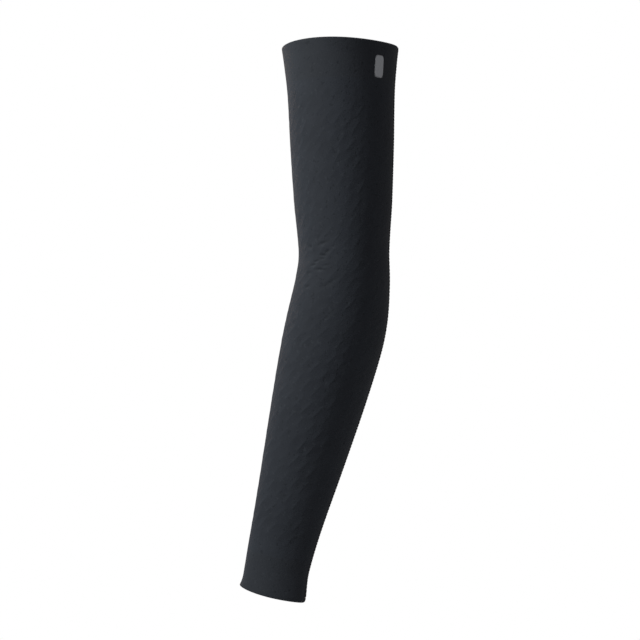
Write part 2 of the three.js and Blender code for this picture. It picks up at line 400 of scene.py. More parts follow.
@dataclass
class Shell:
    """Mesh under construction: points, faces, and values at the faces' corners and at the points."""

    points: np.ndarray
    faces: list[list[int]]
    maps: dict[str, np.ndarray] = field(default_factory=dict)
    relief: np.ndarray | None = None

    def joined(self, other: "Shell") -> "Shell":
        """This shell and another as one, without corner values.

        Args:
            other: Shell to add.

        Returns:
            Shell with both.
        """
        shift = len(self.points)
        moved = [[corner + shift for corner in face] for face in other.faces]
        relief = None
        if self.relief is not None and other.relief is not None:
            relief = np.concatenate([self.relief, other.relief])
        points = np.concatenate([self.points, other.points])
        return Shell(points, self.faces + moved, relief=relief)

    def make(self, name: str, finish: bpy.types.Material, crisp: float) -> bpy.types.Object:
        """Makes the object, at the origin and unturned, with its place in its mesh.

        Args:
            name: Name of the piece.
            finish: Material of the whole piece.
            crisp: Angle in degrees from which an edge between two faces stays sharp.

        Returns:
            The new object.
        """
        mesh = bpy.data.meshes.new(name)
        mesh.from_pydata(self.points.tolist(), [], self.faces)
        for title, values in self.maps.items():
            layer = mesh.uv_layers.new(name=title)
            layer.uv.foreach_set("vector", values.astype(np.float32).ravel())
        if self.relief is not None:
            attribute = mesh.attributes.new(RELIEF, "FLOAT", "POINT")
            attribute.data.foreach_set("value", self.relief.astype(np.float32))
        mesh.polygons.foreach_set("use_smooth", np.ones(len(self.faces), bool))
        mesh.set_sharp_from_angle(angle=math.radians(crisp))
        mesh.materials.append(finish)
        mesh.update()
        piece = bpy.data.objects.new(name, mesh)
        bpy.context.scene.collection.objects.link(piece)
        log.info("%s: %d points, %d faces", name, len(self.points), len(self.faces))
        return piece


def ring_faces(rows: int, columns: int) -> np.ndarray:
    """Quads of a grid that closes both ways, like a tyre: each row joins the next, the last the first,
    and so do the columns.

    Args:
        rows: Number of rows of points.
        columns: Number of points a row.

    Returns:
        Four corner numbers for each face.
    """
    row, column = np.divmod(np.arange(rows * columns), columns)
    below, beside = (row + 1) % rows, (column + 1) % columns
    corners = [row * columns + column, below * columns + column, below * columns + beside]
    return np.stack([*corners, row * columns + beside], -1)


def capped_faces(rows: int, columns: int) -> list[list[int]]:
    """Faces of a grid whose columns close to a ring, with a flat face over its first and last rows.

    Args:
        rows: Number of rows of points.
        columns: Number of points a row.

    Returns:
        Corner numbers of each face.
    """
    last = rows * columns - 1
    ends = [list(range(columns)), list(range(last, last - columns, -1))]
    return ring_faces(rows, columns)[:-columns].tolist() + ends


def tyre_shell(
    points: np.ndarray, maps: dict[str, tuple[np.ndarray, np.ndarray]], relief: np.ndarray
) -> Shell:
    """Closed wall of a tube from a grid whose rows go down its outside and back up its inside.

    The first and the last column of each map meet at the back of the arm, where the points have one
    column less, so that the pattern runs to the seam from both sides.

    Args:
        points: Rows of points, with X, Y and Z in the last axis.
        maps: Two grids of values for each map, with one column more than the points.
        relief: Relief at each point.

    Returns:
        The wall.
    """
    rows, columns = points.shape[:2]
    row, column = np.divmod(np.arange(rows * columns), columns)
    below = (row + 1) % rows
    corners = ((row, column), (below, column), (below, column + 1), (row, column + 1))
    flat = {}
    for title, grids in maps.items():
        sides = [np.stack([grid[corner] for corner in corners], -1) for grid in grids]
        flat[title] = np.stack(sides, -1).reshape(-1, 2)
    faces = ring_faces(rows, columns).tolist()
    return Shell(points.reshape(-1, 3), faces, flat, relief.ravel())


def threads(paths: np.ndarray, ups: np.ndarray, radii: np.ndarray, sides: int) -> Shell:
    """Round threads along many paths at once.

    A ring of equal turns stands at each stop of a path, across its direction, which is that from the
    stop before to the stop after. A flat face closes each end.

    Args:
        paths: Points of each path: threads, stops, and X, Y and Z.
        ups: Directions away from the cloth, of the same shape.
        radii: Radius at each stop.
        sides: Number of points round a thread.

    Returns:
        All threads as one shell.
    """
    count, stops = paths.shape[:2]
    ahead = np.gradient(paths, axis=1)
    ahead /= np.linalg.norm(ahead, axis=-1, keepdims=True)
    across = np.cross(ahead, ups)
    across /= np.linalg.norm(across, axis=-1, keepdims=True)
    above = np.cross(across, ahead)
    angle = 2 * np.pi * np.arange(sides) / sides
    offset = (
        across[:, :, None, :] * np.cos(angle)[None, None, :, None]
        + above[:, :, None, :] * np.sin(angle)[None, None, :, None]
    )
    points = paths[:, :, None, :] + offset * radii[None, :, None, None]
    start = (np.arange(count) * stops * sides)[:, None]
    quads = (start[:, None] + ring_faces(stops, sides)[:-sides]).reshape(-1, 4)
    first = start + np.arange(sides)
    last = start + (stops - 1) * sides + np.arange(sides)[::-1]
    faces = quads.tolist() + first.tolist() + last.tolist()
    flat = points.reshape(-1, 3)
    return Shell(flat, faces, relief=np.ones(len(flat)))


# Materials


def math_method(operation: str, swapped: bool = False) -> Callable[..., "Value"]:
    """Method that adds a Math node on a value and, where the operation takes one, another.

    Args:
        operation: Blender's name of the operation.
        swapped: Whether the other comes first.

    Returns:
        The method.
    """

    def method(value: "Value", *others: "Value | float") -> "Value":
        """Adds the node."""
        given = [*others, value] if swapped else [value, *others]
        node = value.graph.node("ShaderNodeMath", {"operation": operation}, given)
        return Value(value.graph, node.outputs[0])

    return method


class Value:
    """Number that changes over a surface. It wraps an output socket, and maths on it adds nodes."""

    __add__ = __radd__ = math_method("ADD")
    __mul__ = __rmul__ = math_method("MULTIPLY")
    __sub__ = math_method("SUBTRACT")
    __rsub__ = math_method("SUBTRACT", swapped=True)
    __truediv__ = math_method("DIVIDE")
    __pow__ = math_method("POWER")
    __abs__ = math_method("ABSOLUTE")
    fraction = math_method("FRACT")
    floor = math_method("FLOOR")
    sine = math_method("SINE")
    smaller = math_method("MINIMUM")

    def __init__(self, graph: "Graph", socket: bpy.types.NodeSocket) -> None:
        """Wraps a socket of a graph."""
        self.graph = graph
        self.socket = socket

    def ramp(self, low: float, high: float) -> "Value":
        """Smooth ramp, flat beyond both of its ends.

        Args:
            low: Value where the ramp leaves 0.
            high: Value where it reaches 1.

        Returns:
            Ramped value from 0 to 1.
        """
        settings = {"interpolation_type": "SMOOTHSTEP"}
        sockets = {"Value": self, "From Min": low, "From Max": high}
        node = self.graph.node("ShaderNodeMapRange", settings, sockets)
        return Value(self.graph, node.outputs["Result"])


class Graph:
    """Nodes of one material."""

    def __init__(self, name: str) -> None:
        """Makes an empty material.

        Args:
            name: Name of the material.
        """
        self.material = bpy.data.materials.new(name)
        self.material.use_nodes = True
        self.tree = self.material.node_tree
        self.tree.nodes.clear()

    def node(
        self,
        kind: str,
        settings: dict[str, object] | None = None,
        sockets: dict[str, object] | list[object] | None = None,
    ) -> bpy.types.Node:
        """Adds a node, sets it, and then fills or links its input sockets.

        Args:
            kind: Blender's name of the node type.
            settings: Properties of the node, such as a Math node's operation.
            sockets: Values, Value objects or output sockets, by the input's name or in its order.

        Returns:
            The new node.
        """
        made = self.tree.nodes.new(kind)
        for name, value in (settings or {}).items():
            setattr(made, name, value)
        given = enumerate(sockets) if isinstance(sockets, list) else (sockets or {}).items()
        for name, value in given:
            source = value.socket if isinstance(value, Value) else value
            if isinstance(source, bpy.types.NodeSocket):
                self.tree.links.new(source, made.inputs[name])
            else:
                made.inputs[name].default_value = source
        return made

    def map(self, title: str) -> tuple[Value, Value]:
        """Both values of one of the piece's own maps.

        Args:
            title: Name of the map.

        Returns:
            Its first and its second value.
        """
        place = self.node("ShaderNodeUVMap", {"uv_map": title})
        parts = self.node("ShaderNodeSeparateXYZ", None, [place.outputs["UV"]])
        return Value(self, parts.outputs["X"]), Value(self, parts.outputs["Y"])

    def relief(self) -> Value:
        """The piece's own relief attribute, which its class gives a value at each point."""
        node = self.node("ShaderNodeAttribute", {"attribute_name": RELIEF, "attribute_type": "GEOMETRY"})
        return Value(self, node.outputs["Fac"])

    def noise(self, scale: float, detail: float, roughness: float = 0.5) -> Value:
        """Noise on Object coordinates, around a half.

        Args:
            scale: Grains a metre.
            detail: Number of finer layers.
            roughness: Share of each finer layer.

        Returns:
            The noise.
        """
        place = self.node("ShaderNodeTexCoord").outputs["Object"]
        sockets = {"Vector": place, "Scale": scale, "Detail": detail, "Roughness": roughness}
        return Value(self, self.node("ShaderNodeTexNoise", None, sockets).outputs["Fac"])

    def blend(
        self,
        share: Value,
        first: "tuple[float, float, float] | bpy.types.NodeSocket",
        second: "tuple[float, float, float] | bpy.types.NodeSocket",
    ) -> bpy.types.NodeSocket:
        """Mixes two colours.

        Args:
            share: Share of the second colour.
            first: Colour where the share is 0.
            second: Colour where the share is 1.

        Returns:
            Socket of the mixed colour.
        """
        node = self.node("ShaderNodeMix", {"data_type": "RGBA", "clamp_factor": True})
        self.tree.links.new(share.socket, node.inputs[0])
        for place, colour in ((6, first), (7, second)):
            if isinstance(colour, bpy.types.NodeSocket):
                self.tree.links.new(colour, node.inputs[place])
            else:
                node.inputs[place].default_value = (*colour, 1.0)
        return node.outputs[2]

    def surface(self, sockets: dict[str, object], height: Value, distance: float) -> None:
        """Ends the material in a Principled shader with a bump.

        Args:
            sockets: Values or links of the shader's inputs.
            height: Height of the bump.
            distance: Length in metres that stands for a height of 1.
        """
        bump = self.node("ShaderNodeBump", None, {"Strength": 1.0, "Distance": distance, "Height": height})
        shader = self.node("ShaderNodeBsdfPrincipled", None, {**sockets, "Normal": bump.outputs[0]})
        self.node("ShaderNodeOutputMaterial", None, {"Surface": shader.outputs[0]})


class ArrayMaths:
    """Functions of a relief on arrays."""

    floor = staticmethod(np.floor)
    sine = staticmethod(np.sin)
    smaller = staticmethod(np.minimum)
    ramp = staticmethod(smooth_step)


class NodeMaths:
    """The same functions in a material."""

    floor = staticmethod(Value.floor)
    sine = staticmethod(Value.sine)
    smaller = staticmethod(Value.smaller)
    ramp = staticmethod(Value.ramp)


@dataclass(frozen=True)
class RibLayout:
    """Slanting ribs of the cloth, cut into bricks. The mesh and the material share their height.

    width and rise are a rib's size round the arm and along it, brick is the height of a row, and lean
    the cloth round the arm over which a row climbs by one. The waves shift ribs and rows by a share of
    their size over waver_length. climb is the share of a rib up to its crest, and fall that of the drop
    behind it, and hollow how far the rib sags on the way. notch is the share of a brick that sinks at
    each end, by notch_share of its height, and least is the height of the lowest brick.
    """

    start: float = 30.3 * MM
    width: float = 10 * MM
    rise: float = 13.5 * MM
    brick: float = 15.5 * MM
    lean: float = 40 * MM
    rib_waver: float = 0.16
    brick_waver: float = 0.1
    waver_length: float = 34 * MM
    brick_waver_length: float = 31 * MM
    climb: float = 0.78
    hollow: float = 1.8
    fall: float = 0.19
    notch: float = 0.25
    notch_share: float = 0.85
    least: float = 0.4

    def places(self, arc: np.ndarray, along: np.ndarray) -> tuple[np.ndarray, np.ndarray]:
        """Counts of ribs and of bricks up to places on the cloth.

        The ribs go by the arc over their width plus the length over their rise, the rows of bricks by
        the length over their height less the arc over their lean, and both waver slowly.

        Args:
            arc: Lengths of cloth from the front, in metres.
            along: Lengths from the upper rim, in metres.

        Returns:
            Both counts, whose whole parts number the ribs and the rows.
        """
        ribs = arc / self.width + (along - self.start) / self.rise + 0.5
        ribs = ribs + self.rib_waver * ripple(arc, along, self.waver_length, 0.7)
        bricks = along / self.brick - arc / self.lean
        bricks = bricks + self.brick_waver * ripple(arc, along, self.brick_waver_length, 5.2)
        return ribs, bricks

    def height(
        self,
        ribs: "np.ndarray | Value",
        bricks: "np.ndarray | Value",
        maths: "type[ArrayMaths] | type[NodeMaths]",
    ) -> "np.ndarray | Value":
        """Height of the cloth, from 0 in a groove to 1 on a high crest.

        Across a rib it climbs to a crest near the far edge, hollowed so that the rib is nearly flat on
        the round arm, and falls off steeply behind it. Each row of bricks is set off from the last by
        half a rib, sinks to a notch at both of its ends, and its bricks differ in height.

        Args:
            ribs: Counts of ribs.
            bricks: Counts of rows of bricks.
            maths: Functions for arrays or for nodes.

        Returns:
            The heights.
        """
        brick = maths.floor(bricks)
        end = bricks - brick
        shifted = ribs + brick * 0.5
        rib = maths.floor(shifted)
        across = shifted - rib
        way = maths.smaller(across / self.climb, 1.0)
        shape = way * (way * (1 + self.hollow) - self.hollow) * maths.ramp(1 - across, 0.0, self.fall)
        notch = maths.ramp(end, 0.0, self.notch) * maths.ramp(1 - end, 0.0, self.notch)
        chance = maths.sine(rib * 1.73 + brick * 2.91) * 43.758
        size = self.least + (1 - self.least) * (chance - maths.floor(chance))
        return size * shape * (1 - self.notch_share * (1 - notch))


class Knit(Enum):
    """Kind of knit."""

    RIBBED = "ribbed"
    PLAIN = "plain"


def stitch_height(arc: Value, along: Value, wale: float, course: float) -> Value:
    """Knit stitches as a height from 0 to 1.

    Each wale is a column of V-shaped loops: a sine down the arm whose phase falls towards the edges of
    the wale, times one less the fourth power of the distance from the wale's middle.

    Args:
        arc: Length on the cloth round the arm.
        along: Length on the cloth down the arm.
        wale: Width of a column of loops, in metres.
        course: Height of a loop, in metres.

    Returns:
        The height.
    """
    aside = abs((arc / wale).fraction() * 2.0 - 1.0)
    loop = ((along / course + aside * 0.55) * (2 * math.pi)).sine() * 0.5 + 0.5
    return loop * (1.0 - aside**4.0)


@dataclass(frozen=True)
class KnitFinish:
    """Matt stretch knit in dark slate, with its stitches, small uneven spots and fine speckle. On the
    ribbed knit, painted shade darkens the grooves of the ribs and the dents of the elbow, and a painted
    highlight lightens the cloth just below each dent. Depths are in millimetres, and grains are counts a
    metre."""

    name: str
    kind: Knit
    light: tuple[float, float, float]
    dark: tuple[float, float, float]
    # Dark colour of the random spots and of the painted shade in the dents, and light colour of the random
    # flecks and of the painted highlight just below the dents.
    spot_and_dent_shade: tuple[float, float, float] = (0.010, 0.013, 0.017)
    fleck_and_lip_highlight: tuple[float, float, float] = (0.034, 0.040, 0.048)
    ribs: RibLayout = RibLayout()
    rib_depth: float = 0.14
    wale: float = 0.62 * MM
    course: float = 0.48 * MM
    stitch_depth: float = 0.035
    pit_depth: float = 0.11
    spot_depth: float = 0.10
    roughness: float = 0.88
    speckle_grains: float = 1400.0
    patch_grains: float = 70.0
    pit_grains: float = 420.0
    spot_grains: float = 300.0
    fleck_grains: float = 380.0
    # Painted shade: how much darker the grooves between the ribs are coloured than their crests; rib_light
    # then lifts the ribbed cloth's tone evenly.
    groove_shade: float = 0.32
    rib_light: float = 0.08
    # Weights of the painted shade in the dents and of the painted highlight just below them.
    dent_shade: float = 1.1
    lip_highlight_weight: float = 0.45

    def make(self) -> bpy.types.Material:
        """Builds the material of the knit.

        Returns:
            The material.
        """
        graph = Graph(self.name)
        arc, along = graph.map(CLOTH_MAP)
        stitches = stitch_height(arc, along, self.wale, self.course)
        speckle = graph.noise(self.speckle_grains, 2.0, 0.6)
        patches = graph.noise(self.patch_grains, 3.0)
        pits = graph.noise(self.pit_grains, 1.0)
        spots = graph.noise(self.spot_grains, 1.0).ramp(0.62, 0.74)
        height = stitches * self.stitch_depth + pits * self.pit_depth - spots * self.spot_depth
        flecks = graph.noise(self.fleck_grains, 1.0).ramp(0.62, 0.76)
        tone = speckle * 0.7 + patches * 0.9 - 0.2
        if self.kind is Knit.RIBBED:
            crests = (self.ribs.height(*graph.map(RIB_MAP), NodeMaths) - 1.0) * graph.relief()
            height = height + crests * self.rib_depth
            # Painted shade: the grooves of the ribs are coloured darker than their crests.
            tone = tone + crests * self.groove_shade + self.rib_light
            # Painted shade in the dents of the elbow joins the dark spots, and a painted highlight just
            # below each dent joins the light flecks.
            dents, lip_highlights = graph.map(DENT_SHADE_AND_HIGHLIGHT_MAP)
            spots = (spots * 0.5 + dents * self.dent_shade).smaller(1.0)
            flecks = (flecks * 0.4 + lip_highlights * self.lip_highlight_weight).smaller(1.0)
        else:
            spots, flecks = spots * 0.5, flecks * 0.4
            cords = (arc * (math.pi / self.wale)).sine()
            height = height + cords * (0.3 * self.stitch_depth)
        cloth = graph.blend(tone, self.dark, self.light)
        sockets = {
            "Base Color": graph.blend(flecks, graph.blend(spots, cloth, self.spot_and_dent_shade), self.fleck_and_lip_highlight),
            "Roughness": speckle * 0.16 + (self.roughness - 0.08),
            "Diffuse Roughness": 1.0,
            "Specular IOR Level": 0.2,
            "Sheen Weight": 0.04,
            "Sheen Roughness": 0.35,
            "Sheen Tint": (1.0, 0.95, 0.9, 1.0),
        }
        graph.surface(sockets, height, 1 * MM)
        return graph.material


@dataclass(frozen=True)
class ThreadFinish:
    """Dark textured thread of the seam, with fine fibres."""

    name: str
    colour: tuple[float, float, float]
    shade: tuple[float, float, float]

    def make(self) -> bpy.types.Material:
        """Builds the material of the thread.

        Returns:
            The material.
        """
        graph = Graph(self.name)
        fibres = graph.noise(2600.0, 3.0, 0.65)
        tone = graph.relief() * 0.7 + fibres * 0.6 - 0.3
        sockets = {
            "Base Color": graph.blend(tone, self.shade, self.colour),
            "Roughness": fibres * 0.2 + 0.6,
            "Specular IOR Level": 0.4,
            "Sheen Weight": 0.15,
            "Sheen Roughness": 0.4,
        }
        graph.surface(sockets, fibres, 0.04 * MM)
        return graph.material


@dataclass(frozen=True)
class FilmFinish:
    """Light grey reflective film: fine cells that catch the light, and a darker welded edge."""

    name: str
    ground: tuple[float, float, float]
    cell: tuple[float, float, float]
    edge: tuple[float, float, float]
    pitch: float = 0.9 * MM

    def make(self) -> bpy.types.Material:
        """Builds the material of the film.

        Returns:
            The material.
        """
        graph = Graph(self.name)
        arc, along = graph.map(CLOTH_MAP)
        wave = 2 * math.pi / self.pitch
        slanting = ((arc + along) * wave).sine()
        falling = ((arc - along) * wave).sine()
        cells = slanting * falling * 0.5 + 0.5
        grain = graph.noise(900.0, 2.0)
        inner = graph.blend(cells * 0.6 + grain * 0.5 - 0.05, self.ground, self.cell)
        sockets = {
            "Base Color": graph.blend(graph.relief(), self.edge, inner),
            "Roughness": grain * 0.2 + 0.3,
            "Metallic": 0.25,
            "Specular IOR Level": 0.5,
        }
        graph.surface(sockets, cells, 0.02 * MM)
        return graph.material


@dataclass(frozen=True)
class PlainFinish:
    """Even finish of the floor, with a faint grain."""

    name: str
    colour: tuple[float, float, float]

    def make(self) -> bpy.types.Material:
        """Builds the material of the floor.

        Returns:
            The material.
        """
        graph = Graph(self.name)
        grain = graph.noise(30.0, 2.0)
        darker = tuple(0.97 * part for part in self.colour)
        sockets = {"Base Color": graph.blend(grain, darker, self.colour), "Roughness": 0.9}
        graph.surface(sockets, grain, 0.1 * MM)
        return graph.material


# Pieces


@dataclass
class SleeveBody:
    """Ribbed tube between the two bands."""

    form: ArmForm
    finish: KnitFinish
    top: float = 30 * MM
    bottom: float = 411 * MM
    groove_depth: float = 0.11 * MM
    deep: float = 0.8 * MM
    fade: float = 24 * MM
    seam_half: float = 2.5 * MM
    seam_margin: float = 6 * MM
    crook: tuple[float, float] = (150 * MM, 198 * MM)
    row: float = 1.06 * MM
    crook_row: float = 0.5 * MM
    front_strength: float = 1.1
    side_fall: float = 0.2
    side: tuple[float, float] = (0.4, 0.55)
    back_fall: float = 0.55
    back: tuple[float, float] = (0.62, 0.78)
    forearm_gain: float = 0.3
    forearm: tuple[float, float] = (210 * MM, 260 * MM)
    mean: float = 0.78
    waver: float = 0.4
    waver_length: float = 34 * MM
    uneven: float = 0.06 * MM
    uneven_length: float = 9 * MM
    level_edge: float = 6 * MM
    lip_shift: float = 1.7
    inner_rows: int = 32
    columns: int = 224

    def strength(self, along: np.ndarray, arc: np.ndarray, half: np.ndarray) -> np.ndarray:
        """Strength of the ribs: it dies out towards the bands and the seam and wavers in between. It
        falls off from the front of the arm to its back, and is somewhat greater on the forearm.

        Args:
            along: Lengths from the upper rim, in metres.
            arc: Lengths of cloth from the front, in metres.
            half: Lengths of cloth from the front to the back, in metres.

        Returns:
            Strengths from 0 to about 1.6.
        """
        ends = smooth_step(np.minimum(along - self.top, self.bottom - along), 0, self.fade)
        seam = smooth_step(half - np.abs(arc) - self.seam_half, 0, self.seam_margin)
        share = np.abs(arc) / half
        sides = self.front_strength - self.side_fall * smooth_step(share, *self.side)
        sides = sides - self.back_fall * smooth_step(share, *self.back)
        lower = 1 + self.forearm_gain * smooth_step(along, *self.forearm)
        waver = self.mean + self.waver * ripple(arc, along, self.waver_length, 2.1)
        return ends * seam * sides * lower * waver

    def outer_rows(self) -> np.ndarray:
        """Lengths of the outside's rows, which stand closer at the crook of the elbow.

        Returns:
            Lengths from the upper rim, in metres.
        """
        stops = (self.top, *self.crook, self.bottom)
        gaps = (self.row, self.crook_row, self.row)
        parts = [
            np.linspace(low, high, round((high - low) / gap), endpoint=False)
            for low, high, gap in zip(stops[:-1], stops[1:], gaps)
        ]
        return np.concatenate([*parts, [self.bottom]])

    def build(self) -> bpy.types.Object:
        """Makes the tube: its ribbed and creased outside, its plain inside, and two flat ends.

        Returns:
            The piece.
        """
        outer = self.outer_rows()
        inner = np.linspace(self.bottom, self.top, self.inner_rows)
        along = np.concatenate([outer, inner])
        shares = np.linspace(-1, 1, self.columns + 1)
        half = self.form.half_round(along)[:, None]
        arc = shares[None, :] * half
        turn = self.form.turn_after(along, arc)
        column = along[:, None]
        outside = (np.arange(len(along)) < len(outer))[:, None]
        strength = self.strength(column, arc, half)
        counts = self.finish.ribs.places(arc, column)
        ribs = strength * (self.finish.ribs.height(*counts, ArrayMaths) - 1) * self.groove_depth
        uneven = self.uneven * ripple(arc, column, self.uneven_length, 4.0)
        crease = self.form.crease_depth(column, turn)
        dents = self.form.dent_depth(column, arc)
        edge = smooth_step(np.minimum(column - self.top, self.bottom - column), 0, self.level_edge)
        out = np.where(outside, ribs + edge * (uneven - dents), -self.form.body_wall) - crease
        points = self.form.point(column, turn, out)[:, :-1]
        # The dents' depths, and the same moved towards the wrist, go to the material as its painted shade
        # in the dents and its painted highlight below them.
        lip_highlights = self.form.dent_depth(column, arc, self.lip_shift)
        maps = {
            CLOTH_MAP: (arc, np.broadcast_to(column, arc.shape)),
            RIB_MAP: counts,
            DENT_SHADE_AND_HIGHLIGHT_MAP: (outside * dents / self.deep, outside * lip_highlights / self.deep),
        }
        shell = tyre_shell(points, maps, np.where(outside, strength, 0)[:, :-1])
        return shell.make("ribbed_body", self.finish.make(), 50.0)

    def dress(self) -> bpy.types.Object:
        """Builds the piece and tells the frame what it stands for.

        Returns:
            The piece.
        """
        piece = self.build()
        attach(piece, "root")
        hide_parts("sleeve_body")
        return piece


class End(Enum):
    """End of the sleeve."""

    UPPER = "upper"
    WRIST = "wrist"


@dataclass
class Band:
    """Plain doubled band at one end of the sleeve, folded over at its rim."""

    form: ArmForm
    finish: KnitFinish
    end: End
    height: float
    wall: float = 2.2 * MM
    corner: float = 0.88 * MM
    row: float = 1.6 * MM
    columns: int = 224

    def profile(self) -> tuple[np.ndarray, np.ndarray]:
        """Section of the band's wall, from its inner edge over the rim and back.

        The outside is level, a quarter circle rounds each corner of the rim, and the inside lies a wall
        below the outside.

        Returns:
            Distances from the rim, and distances out from the outline.
        """
        rows = int(self.height / self.row)
        down = np.linspace(self.height, self.corner, rows)
        angle = np.linspace(0, np.pi / 2, 6)[1:]
        over = self.corner * (1 - np.sin(angle))
        drop = self.corner * (np.cos(angle) - 1)
        back = over[::-1]
        below = -self.wall + self.corner * (1 - np.cos(angle[::-1]))
        along = np.concatenate([down, over, back, down[::-1]])
        out = np.concatenate([np.zeros(rows), drop, below, np.full(rows, -self.wall)])
        return along, out

    def build(self) -> bpy.types.Object:
        """Makes the band.

        Returns:
            The piece.
        """
        near, out = self.profile()
        if self.end is End.UPPER:
            along, out = near[::-1], out[::-1]
        else:
            along = self.form.length - near
        shares = np.linspace(-1, 1, self.columns + 1)
        half = self.form.half_round(along)[:, None]
        arc = shares[None, :] * half
        turn = self.form.turn_after(along, arc)
        points = self.form.point(along[:, None], turn, out[:, None])[:, :-1]
        maps = {CLOTH_MAP: (arc, np.broadcast_to(along[:, None], arc.shape))}
        shell = tyre_shell(points, maps, np.ones(points.shape[:2]))
        return shell.make(f"{self.end.value}_band", self.finish.make(), 50.0)

    def dress(self) -> bpy.types.Object:
        """Builds the piece and tells the frame what it stands for.

        Returns:
            The piece.
        """
        piece = self.build()
        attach(piece, "root")
        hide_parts(f"{self.end.value}_welt")
        return piece


@dataclass
class BackSeam:
    """Flat seam down the back of the arm: a low strip under crossing cover threads and four rows of
    needle stitches."""

    form: ArmForm
    finish: ThreadFinish
    width: float = 5 * MM
    end_gap: float = 0.8 * MM
    base: float = 0.12 * MM
    crown: float = 0.34 * MM
    pitch: float = 2.5 * MM
    thread: float = 0.15 * MM
    strip_relief: float = 0.1
    underside: float = 0.02 * MM
    cover_width: float = 0.97
    cover_stops: int = 9
    needle_span: tuple[float, float] = (0.04, 0.96)
    needle_stops: int = 6
    rows: int = 300
    over_columns: int = 13
    needle_rows: tuple[float, ...] = (-0.37, -0.13, 0.13, 0.37)

    def place(self, along: np.ndarray, share: np.ndarray, out: np.ndarray) -> np.ndarray:
        """Points on the seam.

        A share of the seam's width to either side of the back of the arm is walked off from the back.

        Args:
            along: Lengths from the upper rim, in metres.
            share: Shares of the seam's width from its middle, positive towards +Y.
            out: Distances out from the outline, in metres.

        Returns:
            Points, with X, Y and Z in the last axis.
        """
        along, share, out = np.broadcast_arrays(along, share, out)
        flat = along.ravel()
        arc = self.form.half_round(flat)[:, None] - np.abs(share).reshape(-1, 1) * self.width
        turn = self.form.turn_after(flat, arc).reshape(along.shape)
        return self.form.point(along, np.where(share > 0, -turn, turn), out)

    def height(self, share: np.ndarray) -> np.ndarray:
        """Height of the strip: its base plus its crown, times the root of one less nine tenths of the
        squared distance from its middle in half widths.

        Args:
            share: Shares of the seam's width from its middle.

        Returns:
            Heights in metres.
        """
        return self.base + self.crown * np.sqrt(1 - 0.9 * (2 * share) ** 2)

    def strip(self) -> Shell:
        """Low closed strip that the threads lie on.

        Returns:
            The strip.
        """
        along = np.linspace(self.end_gap, self.form.length - self.end_gap, self.rows)[:, None]
        over = np.linspace(-0.5, 0.5, self.over_columns)
        under = np.linspace(0.5, -0.5, 5)[1:-1]
        share = np.concatenate([over, under])[None, :]
        out = np.concatenate([self.height(over), np.full(len(under), self.underside)])[None, :]
        points = self.place(along, share, out)
        rows, columns = points.shape[:2]
        relief = np.full(rows * columns, self.strip_relief)
        return Shell(points.reshape(-1, 3), capped_faces(rows, columns), relief=relief)

    def run(self, along: np.ndarray, share: np.ndarray, lift: np.ndarray, sides: int) -> Shell:
        """Threads that lie on the strip. Each narrows to half its radius at both of its ends.

        Args:
            along: Lengths from the upper rim, threads by stops, in metres.
            share: Shares of the seam's width, threads by stops.
            lift: Distances of the thread's middle above the strip, for each stop.
            sides: Number of points round a thread.

        Returns:
            The threads.
        """
        out = self.height(share) + lift[None, :]
        paths = self.place(along, share, out)
        ups = self.place(along, share, out + 1 * MM) - paths
        ups /= np.linalg.norm(ups, axis=-1, keepdims=True)
        ends = np.abs(np.linspace(-1, 1, along.shape[1]))
        radii = self.thread * np.sqrt(1 - 0.75 * ends**6)
        return threads(paths, ups, radii, sides)

    def cover_threads(self) -> Shell:
        """Cover threads that cross the strip to and fro, half a stitch further down each time.

        A thread's middle is 0.6 of its radius above the strip, and 0.3 below it at both ends.

        Returns:
            The threads.
        """
        count = int((self.form.length - 2 * self.end_gap) / self.pitch * 2) - 1
        step = self.pitch / 2
        start = self.end_gap + step * (0.5 + np.arange(count))[:, None]
        t = np.linspace(0, 1, self.cover_stops)[None, :]
        way = np.where(np.arange(count)[:, None] % 2 == 0, 1.0, -1.0)
        lift = self.thread * (0.6 - 0.9 * np.abs(np.linspace(-1, 1, self.cover_stops)) ** 8)
        return self.run(start + step * t, way * (t - 0.5) * self.cover_width, lift, 6)

    def needle_stitches(self) -> Shell:
        """Rows of short needle stitches that hold the cover threads down.

        A stitch's middle is 1.3 of its radius above the strip, and 0.5 at both ends.

        Returns:
            The stitches.
        """
        count = int((self.form.length - 2 * self.end_gap) / self.pitch) - 1
        rows = len(self.needle_rows)
        index = np.arange(count * rows)
        start = self.end_gap + self.pitch * (0.6 + index // rows)[:, None]
        t = np.linspace(*self.needle_span, self.needle_stops)[None, :]
        share = np.array(self.needle_rows)[index % rows][:, None] + 0 * t
        lift = self.thread * (1.3 - 0.8 * np.abs(np.linspace(-1, 1, self.needle_stops)) ** 4)
        return self.run(start + self.pitch * t, share, lift, 5)

    def dress(self) -> bpy.types.Object:
        """Builds the piece and tells the frame what it stands for.

        Returns:
            The piece.
        """
        shell = self.strip().joined(self.cover_threads()).joined(self.needle_stitches())
        piece = shell.make("back_seam_threads", self.finish.make(), 60.0)
        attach(piece, "root")
        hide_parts("back_seam")
        return piece


